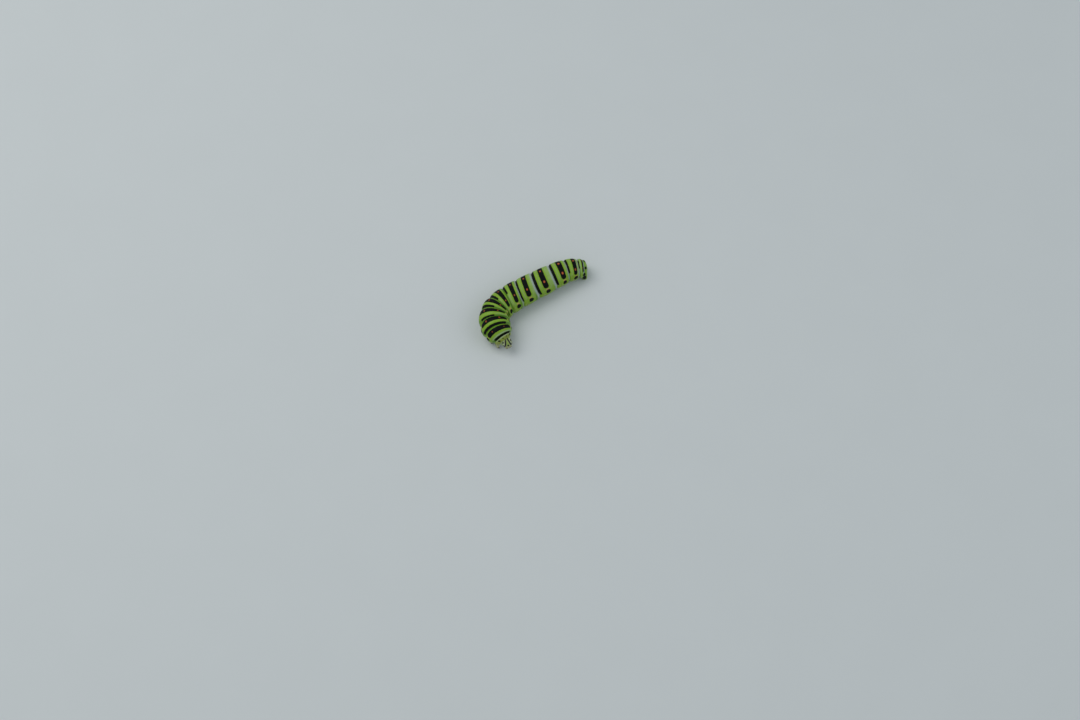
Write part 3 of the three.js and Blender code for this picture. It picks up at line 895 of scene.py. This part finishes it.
def headFinish():
    m = Finish("headHorn")
    c = headColours
    black = m.values("black") + (m.noise(5000, 3) - 0.5) * 0.09
    colour = m.mix(m.step(m.noise(1500, 3), 0.3, 0.7) * 0.5, c["green"], c["pale"])
    for name, share in (("cheek", 0.85), ("mouth", 0.8), ("groove", 0.6)):
        colour = m.mix(m.values(name) * share, colour, c[name])
    colour = m.mix(m.step(black, -0.02, 0.02), colour, c["black"])
    m.relief(m.cells(16000) * 0.6 + m.noise(30000, 2) * 0.3, 0.00003, 0.6)
    m.set(Base_Color=colour, Roughness=0.3 + m.noise(9000, 2) * 0.12, Specular_IOR_Level=0.5)
    m.set(Subsurface_Weight=0.08, Subsurface_Radius=(0.5, 0.8, 0.3), Subsurface_Scale=0.0003)
    return m.material


def plainFinish(name, low, high, scale, roughness, coat=0.0):
    m = Finish(name)
    m.relief(m.noise(scale * 5, 2), 0.00001)
    m.set(Base_Color=m.mix(m.step(m.noise(scale, 3), 0.3, 0.7), low, high), Roughness=roughness)
    if coat:
        m.set(Coat_Weight=coat, Coat_Roughness=0.08)
    return m.material


def finishPiece(piece, material, replaced=()):
    piece.data.materials.append(material)
    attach(piece, "root")
    for node in replaced:
        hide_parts(node)
    return piece


print("stage: head")
head = buildHead()
finishPiece(head, headFinish(), ["head"])

# Six simple eyes low on each side, placed by their rise and their turn in degrees
eyeShape = {
    "radius": 0.11,
    "sunk": 0.99,
    "places": [(0.43, 22), (0.38, 30), (0.34, 40), (0.3, 30), (0.27, 42), (0.33, 16)],
}
eyeParts = []
for side in (1, -1):
    for rise, degrees in eyeShape["places"]:
        turn = math.radians(degrees) if side > 0 else math.pi - math.radians(degrees)
        place = capsulePoint(np.array(rise), np.array(turn)) * eyeShape["sunk"]
        p, faces = roundLump(place, (eyeShape["radius"],) * 3, rows=12, columns=16)
        eyeParts.append((toHead(p), faces))
eyes = joinParts("simpleEyes", eyeParts)
eyeMaterial = plainFinish("eyeGloss", headColours["eye"], headColours["eyeShine"], 6000, 0.12, coat=0.6)
finishPiece(eyes, eyeMaterial)

# Lips, jaws, palps and spinneret: middle, half sizes and turns in degrees
mouthShape = {
    "faceShield": ((0, 0.86, -0.98), (0.43, 0.09, 0.17), (32, 0)),
    "upperLip": ((0, 0.77, -1.22), (0.38, 0.1, 0.16), (26, 0)),
    "upperLipLobe": ((0.17, 0.76, -1.36), (0.2, 0.09, 0.12), (26, 0)),
    "lowerLip": ((0, 0.09, -1.44), (0.3, 0.3, 0.24), (0, 0)),
    "jaw": ((0.23, 0.5, -1.42), (0.23, 0.19, 0.2), (12, 26)),
    "cheekPalp": ((0.52, 0.24, -1.44), (0.14, 0.15, 0.22), (-12, 14)),
    "palpJoint": ((0.53, 0.22, -1.6), (0.09, 0.09, 0.09), (-12, 8)),
    "palpTip": ((0.54, 0.21, -1.67), (0.045, 0.045, 0.05), (-12, 8)),
    "spinneret": ((0, 0.09, -1.64), (0.05, 0.05, 0.08), (0, 0)),
}
softMouth, hornMouth = [], []
for part, (middle, halfSizes, turns) in mouthShape.items():
    for side in (1, -1) if middle[0] else (1,):
        p, faces = roundLump((middle[0] * side, *middle[1:]), halfSizes, (turns[0], turns[1] * side))
        (hornMouth if part == "jaw" else softMouth).append((toHead(p), faces))
lips = joinParts("lips", softMouth)
finishPiece(lips, plainFinish("lipHorn", headColours["mouth"], headColours["feeler"], 4000, 0.35))
jaws = joinParts("jaws", hornMouth)
finishPiece(jaws, plainFinish("jawHorn", headColours["horn"], headColours["paleHorn"], 3000, 0.3))

# Feelers: a pale socket, two joints and a bristle
feelerShape = {
    "root": (0.68, 0.48, -0.92),
    "tip": (0.86, 1.34, -1.32),
    "columns": 24,
    "joints": [  # share of the way to the tip, and radius
        (0, 0.19), (0.2, 0.2), (0.34, 0.17), (0.4, 0.12), (0.44, 0.115), (0.6, 0.11), (0.63, 0.095),
        (0.65, 0.075), (0.68, 0.08), (0.8, 0.07), (0.83, 0.05), (0.85, 0.025), (0.92, 0.018), (1, 0.008),
    ],
}


def feelerFinish():
    m = Finish("feelerHorn")
    way = m.values("way")
    colour = m.mix(m.step(way, 0.33, 0.38), headColours["feeler"], headColours["feelerJoint"])
    colour = m.mix(m.step(way, 0.6, 0.66), colour, headColours["feelerTip"])
    m.relief(m.noise(20000, 2), 0.00001)
    m.set(Base_Color=colour, Roughness=0.35)
    return m.material


feelerMaterial = feelerFinish()
for name, side in (("Left", -1), ("Right", 1)):
    start, end = (np.array((v[0] * side, *v[1:])) for v in (feelerShape["root"], feelerShape["tip"]))
    shares, radii = (np.array(values) for values in zip(*feelerShape["joints"]))
    path = start + (end - start) * shares[:, None]
    columns = feelerShape["columns"]
    points = toHead(loftPoints(path, radii, columns))
    feeler = joinParts("feeler" + name, [(points, loftFaces(len(path), columns))])
    addValues(feeler, "way", np.repeat(shares, columns))
    finishPiece(feeler, feelerMaterial, ["feeler_" + name.lower()])

# True legs: a broad root, three joints and a claw
legShape = {
    "turn": 149,
    "root": 0.66,  # shares of the body's half width
    "hip": 1.02,
    "knee": dict(out=0.55, ahead=0.15, least=0.75, share=0.62),
    "claw": dict(out=0.42, ahead=0.55, height=0.03),
    "rings": 49,
    "columns": 28,
    "joints": (0.31, 0.57, 0.81),
    "jointReach": 0.025,
    "rows": [  # share of the way to the claw, and radius
        (0, 0.56), (0.16, 0.58), (0.26, 0.55), (0.31, 0.46), (0.35, 0.5), (0.44, 0.5), (0.53, 0.47),
        (0.57, 0.38), (0.6, 0.4), (0.7, 0.4), (0.78, 0.36), (0.81, 0.27), (0.84, 0.28), (0.9, 0.24),
        (0.93, 0.15), (0.97, 0.1), (1, 0.03),
    ],
}
legColours = {"pale": (0.5, 0.52, 0.28), "joint": (0.3, 0.34, 0.14), "dark": (0.012, 0.01, 0.008)}


def legFinish():
    m = Finish("legHorn")
    way = m.values("way") + (m.noise(6000, 2) - 0.5) * 0.08
    colour = m.mix(m.values("joint"), legColours["pale"], legColours["joint"])
    colour = m.mix(m.step(way, 0.74, 0.86), colour, legColours["dark"])
    m.relief(m.noise(22000, 2), 0.00002)
    m.set(Base_Color=colour, Roughness=0.32, Specular_IOR_Level=0.5)
    return m.material


def smoothPath(keys, shares):  # a curve through four points
    place = shares * 3
    i = np.clip(place.astype(int), 0, 2)
    t = (place - i)[:, None]
    padded = np.concatenate([[2 * keys[0] - keys[1]], keys, [2 * keys[3] - keys[2]]])
    a, b, c, d = (padded[i + n] for n in range(4))
    return 0.5 * (2 * b + (c - a) * t + (2 * a - 5 * b + 4 * c - d) * t**2 + (3 * b - a - 3 * c + d) * t**3)


def buildLeg(name, segmentName, side):
    s = np.array(segmentMiddle(segmentName))
    turn = np.array(side * math.radians(legShape["turn"]))
    forward, left, up = frameAt(s)
    half = halfAt(s)
    root, hip = (skinPoint(s, turn, half * legShape[key]) for key in ("root", "hip"))
    bend, foot = legShape["knee"], legShape["claw"]
    knee = hip + left * side * bend["out"] + forward * bend["ahead"]
    knee[2] = max(bend["least"], hip[2] * bend["share"])
    claw = hip + left * side * foot["out"] + forward * foot["ahead"]
    claw[2] = foot["height"]
    rings, columns = np.linspace(0, 1, legShape["rings"]), legShape["columns"]
    radii = np.interp(rings, *zip(*legShape["rows"]))
    path = smoothPath(np.array([root, hip, knee, claw]), rings)
    leg = joinParts(name, [(loftPoints(path, radii, columns), loftFaces(len(path), columns))])
    ways = np.repeat(rings, columns)
    addValues(leg, "way", ways)
    joint = sum(bump(ways - share, legShape["jointReach"]) for share in legShape["joints"])
    addValues(leg, "joint", np.minimum(joint, 1))
    return leg


legMaterial = legFinish()
for number, segmentName in enumerate(segmentNames[:3], 1):
    for name, side in (("Left", 1), ("Right", -1)):
        leg = buildLeg(f"leg{number}{name}", segmentName, side)
        finishPiece(leg, legMaterial, [f"leg_{number}_{name.lower()}"])
print("stage: legs done")


# Breathing holes: a raised oval rim round a dark slit, one pair on each segment that has them
holeShape = {
    "turn": 97,
    "place": 0.42,
    "along": 0.16,
    "across": 0.27,
    "rim": 0.055,
    "rimStretch": 1.3,
    "rise": 0.03,
    "collarSize": 0.7,  # of the pair on the collar
    "slit": 0.9,
    "slitRise": 0.004,
    "slitDepth": 0.02,
    "turnReach": 0.05,  # how far each way the slant of the skin is measured
    "around": 32,
    "tube": 12,
    "colours": ((0.42, 0.4, 0.18), (0.52, 0.5, 0.26)),
    "slitColours": ((0.01, 0.008, 0.006), (0.03, 0.022, 0.015)),
}


def breathingHole(name, side):  # the points and faces of its rim and of its slit
    shape, i = holeShape, segmentNames.index(name)
    s = np.array(fronts[i] + shape["place"] * lengths[i])
    turn = np.array(side * math.radians(shape["turn"]))
    half = halfAt(s) + skinRelief(s, turn)
    middle = skinPoint(s, turn, half)
    reach, turnReach = bodyShape["slopeReach"], shape["turnReach"]
    ahead = unit(skinPoint(s - reach, turn, half) - skinPoint(s + reach, turn, half))
    across = unit(skinPoint(s, turn + turnReach, half) - skinPoint(s, turn - turnReach, half))
    outward = np.cross(across, ahead)
    outward = outward * np.sign(np.dot(outward, middle - centreAt(s)))
    middle = middle + outward * shape["rise"]
    size = shape["collarSize"] if name == "prothorax" else 1.0
    count, tubeCount = shape["around"], shape["tube"]
    around = np.linspace(0, 2 * np.pi, count + 1)[:-1]
    ring = np.cos(around)[:, None] * ahead * shape["along"] * size
    ring = ring + np.sin(around)[:, None] * across * shape["across"] * size
    tube = np.linspace(0, 2 * np.pi, tubeCount + 1)[:-1]
    thick = shape["rim"] * size
    stretch = np.cos(tube)[None, :, None] * thick / (shape["across"] * size) * shape["rimStretch"]
    loop = ring[:, None] * (1 + stretch)
    rim = middle + loop + outward * (np.sin(tube)[None, :, None] * thick)
    last = (count - 1) * tubeCount
    faces = gridFaces(count, tubeCount)
    faces += [[last + k, last + (k + 1) % tubeCount, (k + 1) % tubeCount, k] for k in range(tubeCount)]
    disc = middle + ring * shape["slit"] + outward * shape["slitRise"]
    slit = np.concatenate([disc, [middle - outward * shape["slitDepth"]]])
    return (rim.reshape(-1, 3), faces), (slit, fanFaces(0, count, count, flip=True))


holeNames = ["prothorax"] + [f"abdomen_{n}" for n in range(1, 9)]
rimParts, slitParts = zip(*[breathingHole(name, side) for name in holeNames for side in (1, -1)])
rims = joinParts("breathingRims", rimParts)
finishPiece(rims, plainFinish("rimHorn", *holeShape["colours"], 5000, 0.35))
slits = joinParts("breathingSlits", slitParts)
finishPiece(slits, plainFinish("slitDark", *holeShape["slitColours"], 5000, 0.5))


# Fine bristles on the stump legs, the flanks and the head
bristleShape = {
    "onSkin": 700,
    "onHead": 90,
    "length": 0.28,
    "headLength": 0.34,
    "radius": 0.009,
    "headRadius": 0.011,
    "onStumps": 1.0,  # how thickly they grow
    "onFlanks": 0.1,
    "onBack": 0.012,
    "stumpsFrom": 0.15,  # the share of foot from which the skin is a stump's
    "flanksClear": 0.05,  # the share of foot up to which it is the flank's
    "flanksTo": 0.72,  # where the belly begins, as a share of half a turn
    "foldClear": 0.3,
    "clear": 0.3,  # millimetres above the floor
    "colours": ((0.12, 0.1, 0.06), (0.4, 0.38, 0.3)),
    "rings": ((-0.15, 1.0), (0.3, 0.85), (0.7, 0.5)),  # share of the length, and of the radius
}


def bristle(root, outward, length, radius):
    sideways = unit(np.cross(outward, random.normal(size=3)))
    other = np.cross(outward, sideways)
    bend = sideways * length * random.uniform(0.1, 0.35)
    points = []
    for share, width in bristleShape["rings"]:
        middle = root + outward * length * share + bend * share * abs(share)
        for k in range(4):
            angle = k * math.pi / 2
            points.append(middle + (sideways * math.cos(angle) + other * math.sin(angle)) * radius * width)
    points.append(root + outward * length + bend)
    return np.array(points), gridFaces(3, 4) + fanFaces(8, 4, 12, flip=True) + [[3, 2, 1, 0]]


def readValues(data, key, width=1):
    values = np.zeros(len(data) * width, np.float32)
    data.foreach_get(key, values)
    return values.reshape(-1, width) if width > 1 else values


def skinBristles():
    shape, mesh = bristleShape, skin.data
    places = readValues(mesh.vertices, "co", 3).astype(float) / mm
    normals = readValues(mesh.vertices, "normal", 3).astype(float)
    layers = [mesh.attributes[name] for name in ("foot", "turnAway", "fold")]
    foot, away, fold = (readValues(layer.data, "value") for layer in layers)
    height = places[:, 2]
    flank = (away > 0.5) & (away < shape["flanksTo"]) & (foot < shape["flanksClear"])
    weight = np.where(foot > shape["stumpsFrom"], shape["onStumps"], 0.0)
    weight += np.where(flank, shape["onFlanks"], 0.0)
    weight += np.where(away < 0.5, shape["onBack"], 0.0)
    weight[(fold > shape["foldClear"]) | (height < shape["clear"])] = 0
    chosen = random.choice(len(places), shape["onSkin"], replace=False, p=weight / weight.sum())
    parts = []
    for k in chosen:
        length = shape["length"] * random.uniform(0.5, 1.1)
        parts.append(bristle(places[k], normals[k], length, shape["radius"]))
    return parts


def headBristles():
    shape, parts = bristleShape, []
    for k in random.choice(len(head.data.vertices), shape["onHead"], replace=False):
        vertex = head.data.vertices[int(k)]
        place, normal = np.array(vertex.co) / mm, np.array(vertex.normal)
        if normal @ headTurn[1] > -0.1:
            length = shape["headLength"] * random.uniform(0.5, 1.2)
            parts.append(bristle(place, normal, length, shape["headRadius"]))
    return parts


bristleMaterial = plainFinish("bristleHair", *bristleShape["colours"], 3000, 0.4)
finishPiece(joinParts("bristles", skinBristles()), bristleMaterial)
finishPiece(joinParts("headBristles", headBristles()), bristleMaterial)
print("stage: bristles done")


# Floor, light and camera
stageShape = {"radius": 3.0, "corners": 96, "colour": (0.62, 0.66, 0.67), "lighter": 1.03}
corners = stageShape["corners"]
turns = np.linspace(0, 2 * np.pi, corners + 1)[:-1]
edge = np.stack([np.cos(turns), np.sin(turns), np.zeros(corners)], -1) * stageShape["radius"] / mm
floor = makeMesh("floor", edge, [list(range(corners))], smooth=False)
paper = Finish("floorPaper")
lighter = tuple(v * stageShape["lighter"] for v in stageShape["colour"])
paper.set(Base_Color=paper.mix(paper.noise(60, 4), stageShape["colour"], lighter), Roughness=0.85)
floor.data.materials.append(paper.material)

lightSetup = {
    "key": dict(place=(-0.25, 0.28, 0.6), size=0.5, power=1.9, colour=(1.0, 0.985, 0.96)),
    "fill": dict(place=(0.45, -0.35, 0.5), size=0.6, power=0.8, colour=(0.93, 0.97, 1.0)),
    "sky": dict(colour=(0.9, 0.96, 1.0), strength=0.42),
}
for name in ("key", "fill"):
    setup = lightSetup[name]
    data = bpy.data.lights.new(name, "AREA")
    data.size, data.energy, data.color = setup["size"], setup["power"], setup["colour"]
    light = bpy.data.objects.new(name, data)
    light.location = setup["place"]
    light.rotation_mode = "QUATERNION"
    light.rotation_quaternion = (-Vector(setup["place"])).to_track_quat("-Z", "Y")
    bpy.context.scene.collection.objects.link(light)
world = bpy.data.worlds.new("sky")
world.use_nodes = True
backdrop = world.node_tree.nodes["Background"]
backdrop.inputs["Color"].default_value = (*lightSetup["sky"]["colour"], 1)
backdrop.inputs["Strength"].default_value = lightSetup["sky"]["strength"]
bpy.context.scene.world = world
bpy.context.scene.view_settings.view_transform = "Standard"

cameraSetup = {
    "azimuth": -27.7,  # of the line of sight to the larva
    "elevation": 62,
    "lens": 50,
    "sensor": 36,
    "pixel": (525.2, 290.3),  # where the middle of the fifth abdominal segment shows
    "frameSize": (1080, 720),
    "scale": 0.28,  # millimetres of the larva across one pixel
}


def placeCamera():
    setup = cameraSetup
    width, height = setup["frameSize"]
    pixel = setup["sensor"] / width
    offX = (setup["pixel"][0] - width / 2) * pixel / setup["lens"]
    offY = (height / 2 - setup["pixel"][1]) * pixel / setup["lens"]
    distance = setup["scale"] / pixel * setup["lens"] * mm
    azimuth = math.radians(setup["azimuth"]) + math.atan(offX) / math.cos(math.radians(setup["elevation"]))
    elevation = math.radians(setup["elevation"]) + math.atan(offY)
    level = math.cos(elevation)
    back = Vector((math.sin(azimuth) * level, -math.cos(azimuth) * level, math.sin(elevation)))
    data = bpy.data.cameras.new("camera")
    data.lens, data.sensor_width = setup["lens"], setup["sensor"]
    data.clip_start, data.clip_end = 0.005, 20
    camera = bpy.data.objects.new("camera", data)
    camera.rotation_mode = "QUATERNION"
    turn = (-back).to_track_quat("-Z", "Y")
    camera.rotation_quaternion = turn
    low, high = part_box("abdomen_5")
    ray = turn @ Vector((offX, offY, -1))
    camera.location = (low + high) / 2 - ray * distance
    bpy.context.scene.collection.objects.link(camera)
    bpy.context.scene.camera = camera


placeCamera()
print("stage: floor, light and camera done")
